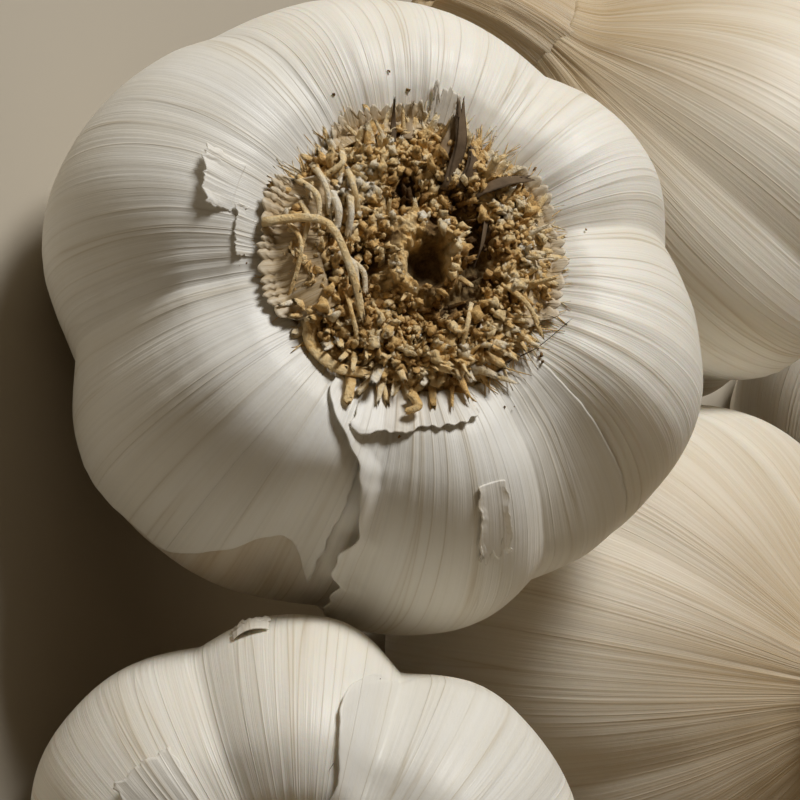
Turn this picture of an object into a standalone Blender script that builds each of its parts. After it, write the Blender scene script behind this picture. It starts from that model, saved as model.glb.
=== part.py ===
"""A group of five white garlic bulbs lying together on a table, each one leaning on its dry stem.

Each bulb is a papery skinned body with bulging cloves, a corky root plate and a trimmed dry stem.
Torn pieces of the outer skin stand a little off two of the bodies. Metres, +Z up, table at z = 0.
"""

import math
from collections import namedtuple

import bmesh
import bpy
from mathutils import Matrix, Vector

MM = 0.001
OBJECT_NAME = "garlic_bulbs"

GAP = 0.35 * MM  # air left between pieces that touch
SKIN_THICKNESS = 0.5 * MM  # a torn flap, several papery layers
BODY_SIDES = 44
BODY_RINGS = 15
PLATE_SIDES = 24
STEM_SIDES = 14
FLAP_COLUMNS = 8
FLAP_ROWS = 5

# radius and height of the body in shares of the bulb's radius, from the root end to the neck
PROFILE = (
    (0.00, 0.500),
    (0.30, 0.510),
    (0.42, 0.555),
    (0.56, 0.600),
    (0.72, 0.565),
    (0.87, 0.420),
    (0.97, 0.210),
    (1.00, -0.020),
    (0.96, -0.260),
    (0.84, -0.480),
    (0.65, -0.670),
    (0.44, -0.810),
    (0.28, -0.910),
    (0.21, -1.000),
)
# the root plate's outline above its seat: radius and height in shares of the bulb's radius
PLATE_PROFILE = (
    (0.000, 0.000),
    (0.290, 0.010),
    (0.385, 0.045),
    (0.420, 0.080),
    (0.350, 0.125),
    (0.180, 0.130),
    (0.080, 0.125),
    (0.050, 0.050),
    (0.000, 0.045),
)

Bulb = namedtuple(
    "Bulb",
    "name radius centre azimuth elevation turn oval long_side creases depths "
    "stem_length stem_bend",
)

# centre and lengths in millimetres; azimuth, elevation and turn point the root end, in degrees;
# creases are the angles round the bulb where two cloves meet, with their depths in shares of radius
BULBS = (
    Bulb("main_bulb", 30.2, (-21.4, -42.8, 27.8), -112.4, 51.1, 96.1, 0.032, 162,
         (14, 56, 125, 190, 262, 303), (0.07, 0.05, 0.03, 0.105, 0.06, 0.075), 2.0, 0.0),
    Bulb("front_bulb", 27.2, (31.7, -60.4, 24.8), -83.8, 37.1, 78.2, 0.035, 135,
         (14, 69, 112, 165, 214, 262, 318), (0.04, 0.115, 0.06, 0.08, 0.06, 0.08, 0.07), 7.0, 1.5),
    Bulb("right_bulb", 28.8, (17.4, 3.7, 20.1), 138.2, -78.6, 140.5, 0.02, 20,
         (5, 58, 104, 160, 221, 275, 322), (0.06, 0.07, 0.08, 0.07, 0.06, 0.07, 0.08), 12.0, 3.0),
    Bulb("back_bulb", 25.0, (-31.5, 22.0, 23.8), 44.5, 15.0, 61.4, 0.015, 30,
         (12, 70, 121, 185, 232, 290), (0.07, 0.06, 0.07, 0.08, 0.06, 0.07), 12.0, -3.0),
    Bulb("far_bulb", 23.0, (-0.8, 62.1, 21.6), 146.7, 21.8, 132.3, 0.02, 80,
         (30, 77, 130, 180, 238, 291, 340), (0.07, 0.08, 0.06, 0.07, 0.08, 0.06, 0.07), 9.0, 2.0),
)

Flap = namedtuple("Flap", "name bulb start end top bottom lift")
# start and end are angles round the bulb; top and bottom are places along the body's outline
FLAPS = (
    Flap("main_bulb_torn_skin", "main_bulb", 251, 291, 0.178, 0.240, 1.2),
    Flap("main_bulb_side_shred", "main_bulb", 155, 173, 0.225, 0.285, 1.1),
    Flap("front_bulb_torn_skin", "front_bulb", 122, 139, 0.240, 0.330, 0.8),
)

PAPER_WHITE = (0.78, 0.74, 0.66)
CORK_TAN = (0.42, 0.27, 0.11)
STEM_STRAW = (0.50, 0.38, 0.22)


def smooth(edge_low, edge_high, value):
    """A soft step from 0 to 1 between the two edges."""
    share = min(max((value - edge_low) / (edge_high - edge_low), 0.0), 1.0)
    return share * share * (3.0 - 2.0 * share)


def outline_point(along):
    """Radius and height of the smooth outline at a share of the way from root end to neck."""
    last = len(PROFILE) - 1
    place = min(max(along, 0.0), 1.0) * last
    here = min(int(place), last - 1)
    share = place - here
    before = PROFILE[max(here - 1, 0)]
    start = PROFILE[here]
    end = PROFILE[here + 1]
    after = PROFILE[min(here + 2, last)]
    point = []
    for p0, p1, p2, p3 in zip(before, start, end, after):
        slope = (p2 - p0) * share
        curve = (2 * p0 - 5 * p1 + 4 * p2 - p3) * share ** 2
        twist = (3 * p1 - p0 - 3 * p2 + p3) * share ** 3
        point.append(0.5 * (2 * p1 + slope + curve + twist))
    return max(point[0], 0.0), point[1]


def hollow_between(bulb, angle):
    """How deep the skin lies at an angle: 0 along a clove's middle, a crease's depth in it."""
    degrees = math.degrees(angle) % 360.0
    edges = list(zip(bulb.creases, bulb.depths))
    edges.append((edges[0][0] + 360, edges[0][1]))
    if degrees < edges[0][0]:
        degrees += 360.0
    for (low, low_depth), (high, high_depth) in zip(edges, edges[1:]):
        if low <= degrees <= high:
            share = (degrees - low) / (high - low)
            across = abs(2.0 * share - 1.0)
            wave = 0.5 - 0.5 * math.cos(math.pi * across ** 1.4)
            depth = low_depth + (high_depth - low_depth) * smooth(0.3, 0.7, share)
            return depth * (0.55 * wave + 0.45 * across ** 3)
    return 0.0


def skin_point(bulb, angle, along, lift=0.0):
    """A point on the body in the bulb's own frame, root end up, in metres."""
    radius, height = outline_point(along)
    hollow = hollow_between(bulb, angle)
    shows = smooth(0.12, 0.42, along) * (1.0 - smooth(0.72, 1.0, along))
    radius *= 1.0 - hollow * shows
    height -= hollow * 0.9 * smooth(0.12, 0.28, along) * (1.0 - smooth(0.40, 0.55, along))
    radius *= 1.0 + bulb.oval * shows * math.cos(2.0 * (angle - math.radians(bulb.long_side)))
    size = bulb.radius * MM
    outward = Vector((radius * math.cos(angle), radius * math.sin(angle), height))
    return outward * size + outward.normalized() * lift


def bulb_matrix(bulb):
    """Stands the bulb's own +Z on its root direction."""
    azimuth = math.radians(bulb.azimuth)
    elevation = math.radians(bulb.elevation)
    root = Vector((
        math.cos(azimuth) * math.cos(elevation),
        math.sin(azimuth) * math.cos(elevation),
        math.sin(elevation),
    ))
    side = Vector((0, 0, 1)).cross(root).normalized()
    up = root.cross(side)
    turn = math.radians(bulb.turn)
    across = side * math.cos(turn) + up * math.sin(turn)
    axes = Matrix((across, root.cross(across), root)).transposed()
    return Matrix.Translation(Vector(bulb.centre) * MM) @ axes.to_4x4()


def turned_mesh(outline, sides):
    """A closed turned shape from (radius, height, along) points that start and end on the axis."""
    mesh = bmesh.new()
    share = mesh.verts.layers.float.new("along")
    points = []
    for radius, height, along in outline:
        vert = mesh.verts.new((radius, 0.0, height))
        vert[share] = along
        points.append(vert)
    edges = [mesh.edges.new(pair) for pair in zip(points, points[1:])]
    bmesh.ops.spin(mesh, geom=points + edges, cent=(0, 0, 0), axis=(0, 0, 1),
                   angle=math.tau, steps=sides, use_merge=True)
    bmesh.ops.remove_doubles(mesh, verts=mesh.verts, dist=0.01 * MM)
    bmesh.ops.recalc_face_normals(mesh, faces=mesh.faces)
    return mesh


def cut_at_table(mesh, matrix):
    """Cuts off what would be below the table and closes the cut with a flat face."""
    into_bulb = matrix.inverted()
    up = (into_bulb.to_3x3() @ Vector((0, 0, 1))).normalized()
    cut = bmesh.ops.bisect_plane(
        mesh, geom=[*mesh.verts, *mesh.edges, *mesh.faces], dist=0.001 * MM,
        plane_co=into_bulb @ Vector((0, 0, 0)), plane_no=-up, clear_outer=True)
    rim = [piece for piece in cut["geom_cut"] if isinstance(piece, bmesh.types.BMEdge)]
    if rim:
        bmesh.ops.contextual_create(mesh, geom=rim)
        bmesh.ops.recalc_face_normals(mesh, faces=mesh.faces)


def paint(name, colour, roughness):
    """A plain finish."""
    material = bpy.data.materials.new(name)
    material.use_nodes = True
    shader = material.node_tree.nodes["Principled BSDF"]
    shader.inputs["Base Color"].default_value = (*colour, 1.0)
    shader.inputs["Roughness"].default_value = roughness
    shader.inputs["Metallic"].default_value = 0.0
    material.diffuse_color = (*colour, 1.0)
    return material


def add_part(name, mesh, parent, material, group):
    """Turns a bmesh into a named object under its bulb's empty."""
    data = bpy.data.meshes.new(name)
    mesh.to_mesh(data)
    mesh.free()
    data.materials.append(material)
    data.shade_smooth()
    data.set_sharp_from_angle(angle=math.radians(40))
    part = bpy.data.objects.new(name, data)
    group.objects.link(part)
    part.parent = parent
    return part


def make_body(bulb, matrix):
    """The papery body with its bulging cloves, flat where it lies on the table."""
    outline = []
    for ring in range(BODY_RINGS + 1):
        along = ring / BODY_RINGS
        radius, height = outline_point(along)
        outline.append((radius * bulb.radius * MM, height * bulb.radius * MM, along))
    outline.append((0.0, outline[-1][1], 1.0))
    mesh = turned_mesh(outline, BODY_SIDES)
    share = mesh.verts.layers.float["along"]
    for vert in mesh.verts:
        if vert.co.xy.length > GAP:
            angle = math.atan2(vert.co.y, vert.co.x)
            vert.co = skin_point(bulb, angle, vert[share])
    cut_at_table(mesh, matrix)
    return mesh


def make_root_plate(bulb):
    """The corky disc that the roots grew from, with a pit in its middle."""
    seat = PROFILE[0][1] * bulb.radius * MM + GAP
    outline = []
    for radius, height in PLATE_PROFILE:
        outline.append((radius * bulb.radius * MM, seat + height * bulb.radius * MM, 0.0))
    return turned_mesh(outline, PLATE_SIDES)


def make_stem(bulb, matrix):
    """The dry stem stub, tapered and a little bent."""
    top = PROFILE[-1][1] * bulb.radius * MM - GAP
    length = bulb.stem_length * MM
    base = PROFILE[-1][0] * bulb.radius * MM
    shares = (0.0, 0.35, 0.7, 1.0)
    outline = [(0.0, top, 0.0)]
    for share in shares:
        radius = base * (1.0 - 0.30 * share + 0.12 * share ** 3)
        outline.append((radius, top - length * share, share))
    outline.append((0.0, top - length * 0.97, 1.0))
    mesh = turned_mesh(outline, STEM_SIDES)
    share = mesh.verts.layers.float["along"]
    for vert in mesh.verts:
        vert.co.x += bulb.stem_bend * MM * vert[share] ** 2
    cut_at_table(mesh, matrix)
    return mesh


def make_flap(flap, bulb):
    """A torn leaf of skin that lifts off the body towards its lower edge."""
    mesh = bmesh.new()
    bmesh.ops.create_grid(mesh, x_segments=FLAP_COLUMNS, y_segments=FLAP_ROWS, size=1.0)
    for vert in mesh.verts:
        across = (vert.co.x + 1.0) / 2.0
        down = (vert.co.y + 1.0) / 2.0
        angle = math.radians(flap.start + (flap.end - flap.start) * across)
        along = flap.top + (flap.bottom - flap.top) * down * (0.85 + 0.15 * math.sin(7 * across))
        lift = GAP + SKIN_THICKNESS / 2 + flap.lift * MM * (0.25 + 0.75 * down)
        vert.co = skin_point(bulb, angle, along, lift)
    bmesh.ops.recalc_face_normals(mesh, faces=mesh.faces)
    return mesh


def main():
    """Builds the whole group."""
    for old in list(bpy.data.objects):
        bpy.data.objects.remove(old, do_unlink=True)
    group = bpy.data.collections.new(OBJECT_NAME)
    bpy.context.scene.collection.children.link(group)
    paper = paint("papery_white_skin", PAPER_WHITE, 0.45)
    cork = paint("dry_root_cork", CORK_TAN, 0.9)
    straw = paint("dry_stem_straw", STEM_STRAW, 0.75)
    empties = {}
    for bulb in BULBS:
        matrix = bulb_matrix(bulb)
        empty = bpy.data.objects.new(bulb.name + "_axis", None)
        group.objects.link(empty)
        empty.matrix_world = matrix
        empties[bulb.name] = (bulb, empty)
        add_part(bulb.name + "_body", make_body(bulb, matrix), empty, paper, group)
        add_part(bulb.name + "_root_plate", make_root_plate(bulb), empty, cork, group)
        add_part(bulb.name + "_dry_stem", make_stem(bulb, matrix), empty, straw, group)
    for flap in FLAPS:
        bulb, empty = empties[flap.bulb]
        part = add_part(flap.name, make_flap(flap, bulb), empty, paper, group)
        solid = part.modifiers.new("Thickness", "SOLIDIFY")
        solid.thickness = SKIN_THICKNESS
        solid.offset = 0.0


if __name__ == "__main__":
    main()
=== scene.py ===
"""Five dry white garlic bulbs lying together: papery skins, crumbly root plates, straw stems."""

import math
import random
from collections import namedtuple

import bmesh
import bpy
from mathutils import Matrix, Vector, noise


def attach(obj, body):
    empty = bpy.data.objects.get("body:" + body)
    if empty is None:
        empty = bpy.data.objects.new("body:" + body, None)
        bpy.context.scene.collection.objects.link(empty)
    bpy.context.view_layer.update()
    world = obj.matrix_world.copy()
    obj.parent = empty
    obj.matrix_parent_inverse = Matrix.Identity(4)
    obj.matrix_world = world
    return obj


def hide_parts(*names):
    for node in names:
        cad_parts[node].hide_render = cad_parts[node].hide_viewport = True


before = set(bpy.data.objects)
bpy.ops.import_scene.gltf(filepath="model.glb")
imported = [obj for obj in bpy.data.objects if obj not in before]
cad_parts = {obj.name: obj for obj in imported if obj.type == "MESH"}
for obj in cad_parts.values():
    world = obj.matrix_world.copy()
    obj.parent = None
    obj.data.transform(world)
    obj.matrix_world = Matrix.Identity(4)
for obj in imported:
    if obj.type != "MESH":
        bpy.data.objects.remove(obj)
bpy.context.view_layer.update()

MM = 0.001
UP = Vector((0, 0, 1))
BODY = "root"

# ---------------------------------------------------------------- the bulbs' shape, as in the CAD

# radius and height of the body in shares of the bulb's radius, from the root end to the neck
PROFILE = (
    (0.00, 0.500),
    (0.30, 0.510),
    (0.42, 0.555),
    (0.56, 0.600),
    (0.72, 0.565),
    (0.87, 0.420),
    (0.97, 0.210),
    (1.00, -0.020),
    (0.96, -0.260),
    (0.84, -0.480),
    (0.65, -0.670),
    (0.44, -0.810),
    (0.28, -0.910),
    (0.21, -1.000),
)
PLATE_SHARE = 0.42  # root plate's radius in shares of the bulb's radius

Bulb = namedtuple(
    "Bulb",
    "name radius centre azimuth elevation turn oval long_side creases depths "
    "stem_length stem_bend",
)

# centre and lengths in millimetres; azimuth, elevation and turn point the root end, in degrees;
# creases are the angles round the bulb where two cloves meet, with their depths in shares of radius
BULBS = (
    Bulb("main_bulb", 30.2, (-21.4, -42.8, 27.8), -112.4, 51.1, 96.1, 0.032, 162,
         (14, 56, 125, 190, 262, 303), (0.07, 0.05, 0.03, 0.105, 0.06, 0.075), 2.0, 0.0),
    Bulb("front_bulb", 27.2, (31.7, -60.4, 24.8), -83.8, 37.1, 78.2, 0.035, 135,
         (14, 69, 112, 165, 214, 262, 318), (0.04, 0.115, 0.06, 0.08, 0.06, 0.08, 0.07), 7.0, 1.5),
    Bulb("right_bulb", 28.8, (17.4, 3.7, 20.1), 138.2, -78.6, 140.5, 0.02, 20,
         (5, 58, 104, 160, 221, 275, 322), (0.06, 0.07, 0.08, 0.07, 0.06, 0.07, 0.08), 12.0, 3.0),
    Bulb("back_bulb", 25.0, (-31.5, 22.0, 23.8), 44.5, 15.0, 61.4, 0.015, 30,
         (12, 70, 121, 185, 232, 290), (0.07, 0.06, 0.07, 0.08, 0.06, 0.07), 12.0, -3.0),
    Bulb("far_bulb", 23.0, (-0.8, 62.1, 21.6), 146.7, 21.8, 132.3, 0.02, 80,
         (30, 77, 130, 180, 238, 291, 340), (0.07, 0.08, 0.06, 0.07, 0.08, 0.06, 0.07), 9.0, 2.0),
)
MAIN, FRONT = BULBS[:2]

# hollows pressed into the main bulb's skin: middle and half width in degrees, middle and half
# length along the outline, depth in mm; the last one swells out
MAIN_HOLLOWS = (
    (315, 20, 0.35, 0.24, 2.9),
    (200, 16, 0.40, 0.30, 0.7),
    (250, 11, 0.43, 0.17, 1.5),
    (342, 14, 0.46, 0.30, -0.6),
)

# how finely a bulb is made: faces round and along its body and its cork, and how many crumbs,
# inner and outer root stubs and fibres its root plate has
Detail = namedtuple("Detail", "body cork crumbs stubs fibres")
NEAR_DETAIL = Detail(body=(560, 170), cork=(260, 100), crumbs=2400, stubs=(420, 330), fibres=240)
FAR_DETAIL = Detail(body=(380, 130), cork=(90, 32), crumbs=300, stubs=(70, 110), fibres=60)
DRAW_SEED = 11


def smooth(edge_low, edge_high, value):
    """A soft step from 0 to 1 between the two edges."""
    share = min(max((value - edge_low) / (edge_high - edge_low), 0.0), 1.0)
    return share * share * (3.0 - 2.0 * share)


def bump(centre, width, value):
    """A soft hump of height 1 at the centre that is gone one width away."""
    return smooth(1.0, 0.0, min(abs(value - centre) / width, 1.0))


def blend(points, share):
    """A point on the smooth curve through all the points, by share of the way along."""
    last = len(points) - 1
    place = min(max(share, 0.0), 1.0) * last
    here = min(int(place), last - 1)
    part = place - here
    rows = (points[max(here - 1, 0)], points[here], points[here + 1], points[min(here + 2, last)])
    curve = []
    for p0, p1, p2, p3 in zip(*rows):
        slope = (p2 - p0) * part
        bend = (2 * p0 - 5 * p1 + 4 * p2 - p3) * part ** 2
        twist = (3 * p1 - p0 - 3 * p2 + p3) * part ** 3
        curve.append(0.5 * (2 * p1 + slope + bend + twist))
    return curve


def hollow_between(bulb, angle):
    """How deep the skin lies at an angle: 0 along a clove's middle, a crease's depth in it."""
    degrees = math.degrees(angle) % 360.0
    edges = list(zip(bulb.creases, bulb.depths))
    edges.append((edges[0][0] + 360, edges[0][1]))
    if degrees < edges[0][0]:
        degrees += 360.0
    for (low, low_depth), (high, high_depth) in zip(edges, edges[1:]):
        if low <= degrees <= high:
            share = (degrees - low) / (high - low)
            across = abs(2.0 * share - 1.0)
            wave = 0.5 - 0.5 * math.cos(math.pi * across ** 1.4)
            depth = low_depth + (high_depth - low_depth) * smooth(0.3, 0.7, share)
            return depth * (0.55 * wave + 0.45 * across ** 3)
    return 0.0


def skin_point(bulb, angle, along, lift=0.0):
    """A point on the smooth body in the bulb's own frame, root end up, in metres."""
    radius, height = blend(PROFILE, along)
    radius = max(radius, 0.0)
    hollow = hollow_between(bulb, angle)
    shows = smooth(0.12, 0.42, along) * (1.0 - smooth(0.72, 1.0, along))
    radius *= 1.0 - hollow * shows
    height -= hollow * 0.9 * smooth(0.12, 0.28, along) * (1.0 - smooth(0.40, 0.55, along))
    radius *= 1.0 + bulb.oval * shows * math.cos(2.0 * (angle - math.radians(bulb.long_side)))
    size = bulb.radius * MM
    outward = Vector((radius * math.cos(angle), radius * math.sin(angle), height))
    return outward * size + outward.normalized() * lift


def bulb_matrix(bulb):
    """Stands the bulb's own +Z on its root direction."""
    azimuth = math.radians(bulb.azimuth)
    elevation = math.radians(bulb.elevation)
    root = Vector((
        math.cos(azimuth) * math.cos(elevation),
        math.sin(azimuth) * math.cos(elevation),
        math.sin(elevation),
    ))
    side = UP.cross(root).normalized()
    up = root.cross(side)
    turn = math.radians(bulb.turn)
    across = side * math.cos(turn) + up * math.sin(turn)
    axes = Matrix((across, root.cross(across), root)).transposed()
    return Matrix.Translation(Vector(bulb.centre) * MM) @ axes.to_4x4()


def ridged(value):
    """Turns a smooth noise value of about -1 to 1 into a sharp line along its zeroes."""
    return max(0.0, 1.0 - abs(value) * 2.2) ** 2


def round_noise(angle, along, lines, stretch, seed):
    """Noise that runs round the bulb without a seam, drawn out from root end to neck."""
    return noise.noise(Vector((math.cos(angle) * lines, math.sin(angle) * lines,
                               along * stretch + seed)))


def skin_relief(bulb, angle, along):
    """Height of the pleats, folds and dents of the papery skin, in metres. The pleats gather
    towards the root plate and the neck, and are livelier in some places than in others."""
    seed = bulb.radius
    around = Vector((math.cos(angle), math.sin(angle), along * 1.3))
    drift = angle + 0.05 * noise.noise(Vector((along * 4.0, seed, angle * 0.5)))
    gathered = bump(0.19, 0.30, along) + 0.8 * smooth(0.70, 0.95, along)
    lively = min(max(0.55 + 1.3 * noise.noise(around * 1.9 + UP * seed), 0.12), 1.0)
    lively *= 1.0 if bulb is MAIN else 0.6
    pleats = round_noise(drift, along, 8.0, 1.1, seed) * (0.07 + 0.30 * gathered) * lively
    folds = round_noise(drift, along, 24.0, 1.0, seed + 7) * (0.022 + 0.15 * gathered) * lively
    fine = round_noise(drift, along, 44.0, 1.5, seed + 19) * (0.012 + 0.035 * gathered)
    dents = noise.noise(around * 2.7 + UP * seed) * 0.22
    wrinkles = round_noise(angle, along, 9.0, 60.0, seed) * 0.03 * lively
    valley = 0.0
    if bulb is MAIN:
        degrees = math.degrees(angle) % 360.0
        for middle, width, place, length, depth in MAIN_HOLLOWS:
            valley += depth * bump(middle, width, degrees) * bump(place, length, along)
    edge = smooth(0.10, 0.16, along)
    return (pleats + folds + fine + dents + wrinkles - valley) * MM * edge


# ---------------------------------------------------------------- materials

class Wire:
    """A shader socket that arithmetic can be written on."""

    def __init__(self, finish, socket):
        self.finish = finish
        self.socket = socket

    def join(self, operation, first, second):
        return self.finish.node("ShaderNodeMath", {"operation": operation}, {0: first, 1: second})

    def __add__(self, other):
        return self.join("ADD", self, other)

    __radd__ = __add__

    def __sub__(self, other):
        return self.join("SUBTRACT", self, other)

    def __rsub__(self, other):
        return self.join("SUBTRACT", other, self)

    def __mul__(self, other):
        return self.join("MULTIPLY", self, other)

    __rmul__ = __mul__

    def __pow__(self, power):
        return self.join("POWER", self, power)

    def clamped(self):
        return self.finish.node("ShaderNodeClamp", {}, {"Value": self})

    def line(self):
        """1 where the noise crosses its middle value, falling to 0 beside it."""
        return 1.0 - self.join("ABSOLUTE", self * 2.0 - 1.0, 0.0)


class Finish:
    """A node material for one kind of surface."""

    def __init__(self, name):
        self.material = bpy.data.materials.new(name)
        self.material.use_nodes = True
        self.tree = self.material.node_tree
        self.shader = self.tree.nodes["Principled BSDF"]

    def node(self, kind, settings, inputs, output=0):
        made = self.tree.nodes.new(kind)
        for key, value in settings.items():
            if key == "stops":
                ramp = made.color_ramp
                while len(ramp.elements) < len(value):
                    ramp.elements.new(0.5)
                for element, (place, colour) in zip(ramp.elements, value):
                    element.position = place
                    element.color = (*colour, 1.0)
            else:
                setattr(made, key, value)
        for key, value in inputs.items():
            self.feed(made.inputs[key], value)
        return Wire(self, made.outputs[output])

    def feed(self, socket, value):
        if isinstance(value, Wire):
            self.tree.links.new(value.socket, socket)
        elif isinstance(value, tuple) and len(value) == 3 and socket.type == "RGBA":
            socket.default_value = (*value, 1.0)
        else:
            socket.default_value = value

    def attribute(self, name, output):
        return self.node("ShaderNodeAttribute", {"attribute_name": name}, {}, output)

    def place(self):
        return self.node("ShaderNodeTexCoord", {}, {}, "Object")

    def stretched(self, vector, scale):
        return self.node("ShaderNodeMapping", {}, {"Vector": vector, "Scale": scale})

    def noise(self, vector, scale, detail=3.0, rough=0.55):
        return self.node("ShaderNodeTexNoise", {}, {
            "Vector": vector, "Scale": scale, "Detail": detail, "Roughness": rough})

    def mix(self, share, first, second, way="MIX"):
        return self.node("ShaderNodeMix", {"data_type": "RGBA", "blend_type": way},
                         {0: share, 6: first, 7: second}, 2)

    def ramp(self, value, *stops):
        return self.node("ShaderNodeValToRGB", {"stops": stops}, {"Fac": value})

    def relief(self, height, depth, strength=1.0):
        normal = self.node("ShaderNodeBump", {}, {
            "Height": height, "Distance": depth, "Strength": strength})
        self.feed(self.shader.inputs["Normal"], normal)

    def surface(self, **sockets):
        for name, value in sockets.items():
            self.feed(self.shader.inputs[name.replace("_", " ")], value)
        return self.material


WHITE_PAPER = (0.86, 0.845, 0.795)
CREAM_PAPER = (0.82, 0.75, 0.59)
WARM_PAPER = (0.76, 0.70, 0.57)
GREY_PAPER = (0.68, 0.655, 0.59)
VEIN_BROWN = (0.50, 0.40, 0.25)
# tan of the neck and old skins, also the painted shade below the main bulb's torn wrapper
TAN_SKIN_AND_SHADE = (0.50, 0.37, 0.21)


def papery_skin(name, see_through):
    """Satin garlic skin: drawn-out streaks and veins, cream patches, creamier down the sides
    (partly its own colour, partly painted warm shade), tan where tone is high, which includes
    painted shade below the main bulb's torn wrapper.
    """
    skin = Finish(name)
    grain = skin.attribute("grain", "Vector")
    tone = skin.attribute("tone", "Fac")
    depth = skin.node("ShaderNodeSeparateXYZ", {}, {"Vector": grain}, 2)
    broad = skin.noise(skin.stretched(grain, (3.5, 3.5, 3.0)), 1.0, 3.0)
    streak = skin.noise(skin.stretched(grain, (20.0, 20.0, 1.2)), 1.0, 6.0, 0.62)
    thread = skin.noise(skin.stretched(grain, (75.0, 75.0, 1.6)), 1.0, 4.0, 0.6)
    vein = skin.noise(skin.stretched(grain, (13.0, 13.0, 0.7)), 1.0, 2.0, 0.4)
    mottle = skin.noise(skin.place(), 260.0, 5.0, 0.6)
    colour = skin.mix(((broad - 0.38) * 2.6).clamped() * 0.45, WHITE_PAPER, WARM_PAPER)
    # creamier down the sides towards the neck: partly the skin's own colour, partly painted warm
    # shade for the lower sides
    colour = skin.mix(((depth - 0.24) * 1.6).clamped() * 0.45, colour, CREAM_PAPER)
    colour = skin.mix(((streak - 0.45) * 3.0).clamped() * 0.42, colour, WARM_PAPER)
    colour = skin.mix(((thread - 0.50) * 4.0).clamped() * 0.38, colour, GREY_PAPER)
    shown = ((broad - 0.36) * 4.0).clamped() * 0.55
    colour = skin.mix((vein.line() ** 34.0) * shown, colour, VEIN_BROWN)
    colour = skin.mix(((mottle - 0.56) * 4.0).clamped() * 0.22, colour, WARM_PAPER)
    tan = (tone + (streak - 0.5) * tone * 1.1 + (thread - 0.5) * tone * 0.8).clamped()
    # tan, and on the main bulb's lower left painted shade below the torn wrapper
    colour = skin.mix(tan, colour, TAN_SKIN_AND_SHADE)
    lines = streak * 0.50 + thread * 0.34 + (vein.line() ** 20.0) * 0.22
    skin.relief(lines + mottle * 0.32, 0.00024, 0.8)
    return skin.surface(
        Base_Color=colour,
        Roughness=(0.34 + thread * 0.24 + tone * 0.15).clamped(),
        Specular_IOR_Level=0.42,
        Subsurface_Weight=see_through,
        Subsurface_Radius=(0.0018, 0.0012, 0.0007),
        Subsurface_Scale=1.0,
    )


def root_cork():
    """Dry crumbly root matter: golden tan, cream where tone is high, with painted shade: near black
    in its pits, its gaps and at the feet of crumbs and stubs, full colour on their tops.
    """
    cork = Finish("dry_root_cork")
    tone = cork.attribute("tone", "Fac")
    tip = cork.attribute("tip", "Fac")
    place = cork.place()
    patch = cork.noise(place, 600.0, 4.0, 0.6)
    crumb = cork.noise(place, 2300.0, 5.0, 0.7)
    shade = (tone + (patch - 0.5) * 0.8 + (crumb - 0.5) * 0.6).clamped()
    colour = cork.ramp(
        shade,
        (0.0, (0.12, 0.068, 0.028)),
        (0.25, (0.50, 0.290, 0.105)),
        (0.48, (0.90, 0.600, 0.250)),
        (0.72, (0.95, 0.750, 0.430)),
        (1.0, (0.94, 0.880, 0.750)),
    )
    # painted light and shade: colour on the lit tops, mixed towards near black in the shaded gaps,
    # pits and feet
    lit = (0.12 + tip * 1.3 + (crumb - 0.5) * 0.5).clamped()
    colour = cork.mix(lit, (0.075, 0.046, 0.023), colour)
    cork.relief(crumb + patch * 0.6, 0.00045, 1.0)
    return cork.surface(Base_Color=colour, Roughness=0.9, Specular_IOR_Level=0.15)


def dry_leaf():
    """Withered leaf: grey-brown, ribbed along its length."""
    # also the colour of the thin dark strand of painted shadow in the front bulb's split
    leaf = Finish("withered_leaf")
    tone = leaf.attribute("tone", "Fac")
    place = leaf.place()
    patch = leaf.noise(place, 500.0, 5.0)
    shade = (tone + (patch - 0.5) * 0.7).clamped()
    colour = leaf.ramp(
        shade,
        (0.0, (0.050, 0.033, 0.020)),
        (0.5, (0.20, 0.140, 0.085)),
        (1.0, (0.55, 0.430, 0.280)),
    )
    leaf.relief(patch, 0.0003, 0.9)
    return leaf.surface(Base_Color=colour, Roughness=0.8, Specular_IOR_Level=0.15)


def pale_floor():
    """Plain pale studio floor with the faintest mottling."""
    floor = Finish("pale_floor")
    patch = floor.noise(floor.place(), 9.0, 4.0)
    colour = floor.mix(patch, (0.46, 0.415, 0.34), (0.50, 0.455, 0.38))
    return floor.surface(Base_Color=colour, Roughness=0.7, Specular_IOR_Level=0.2)


SKIN = papery_skin("papery_skin", 0.25)
THIN_SKIN = papery_skin("thin_papery_skin", 0.10)
CORK = root_cork()
LEAF_AND_CRACK_SHADOW = dry_leaf()


# ---------------------------------------------------------------- making pieces

def add_piece(name, mesh, material, slot, stands_for=()):
    """Turns a bmesh in world metres into a piece of the object."""
    data = bpy.data.meshes.new(name)
    mesh.to_mesh(data)
    mesh.free()
    data.materials.append(material)
    data.shade_smooth()
    piece = bpy.data.objects.new(name, data)
    bpy.context.scene.collection.objects.link(piece)
    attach(piece, BODY)
    if stands_for:
        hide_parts(*stands_for)
    return piece


def turned_mesh(outline, sides):
    """A closed turned shape from (radius, height, along) points that start and end on the axis."""
    mesh = bmesh.new()
    share = mesh.verts.layers.float.new("along")
    points = []
    for radius, height, along in outline:
        vert = mesh.verts.new((radius, 0.0, height))
        vert[share] = along
        points.append(vert)
    edges = [mesh.edges.new(pair) for pair in zip(points, points[1:])]
    bmesh.ops.spin(mesh, geom=points + edges, cent=(0, 0, 0), axis=(0, 0, 1),
                   angle=math.tau, steps=sides, use_merge=True)
    bmesh.ops.remove_doubles(mesh, verts=mesh.verts, dist=0.001 * MM)
    bmesh.ops.recalc_face_normals(mesh, faces=mesh.faces)
    return mesh


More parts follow.
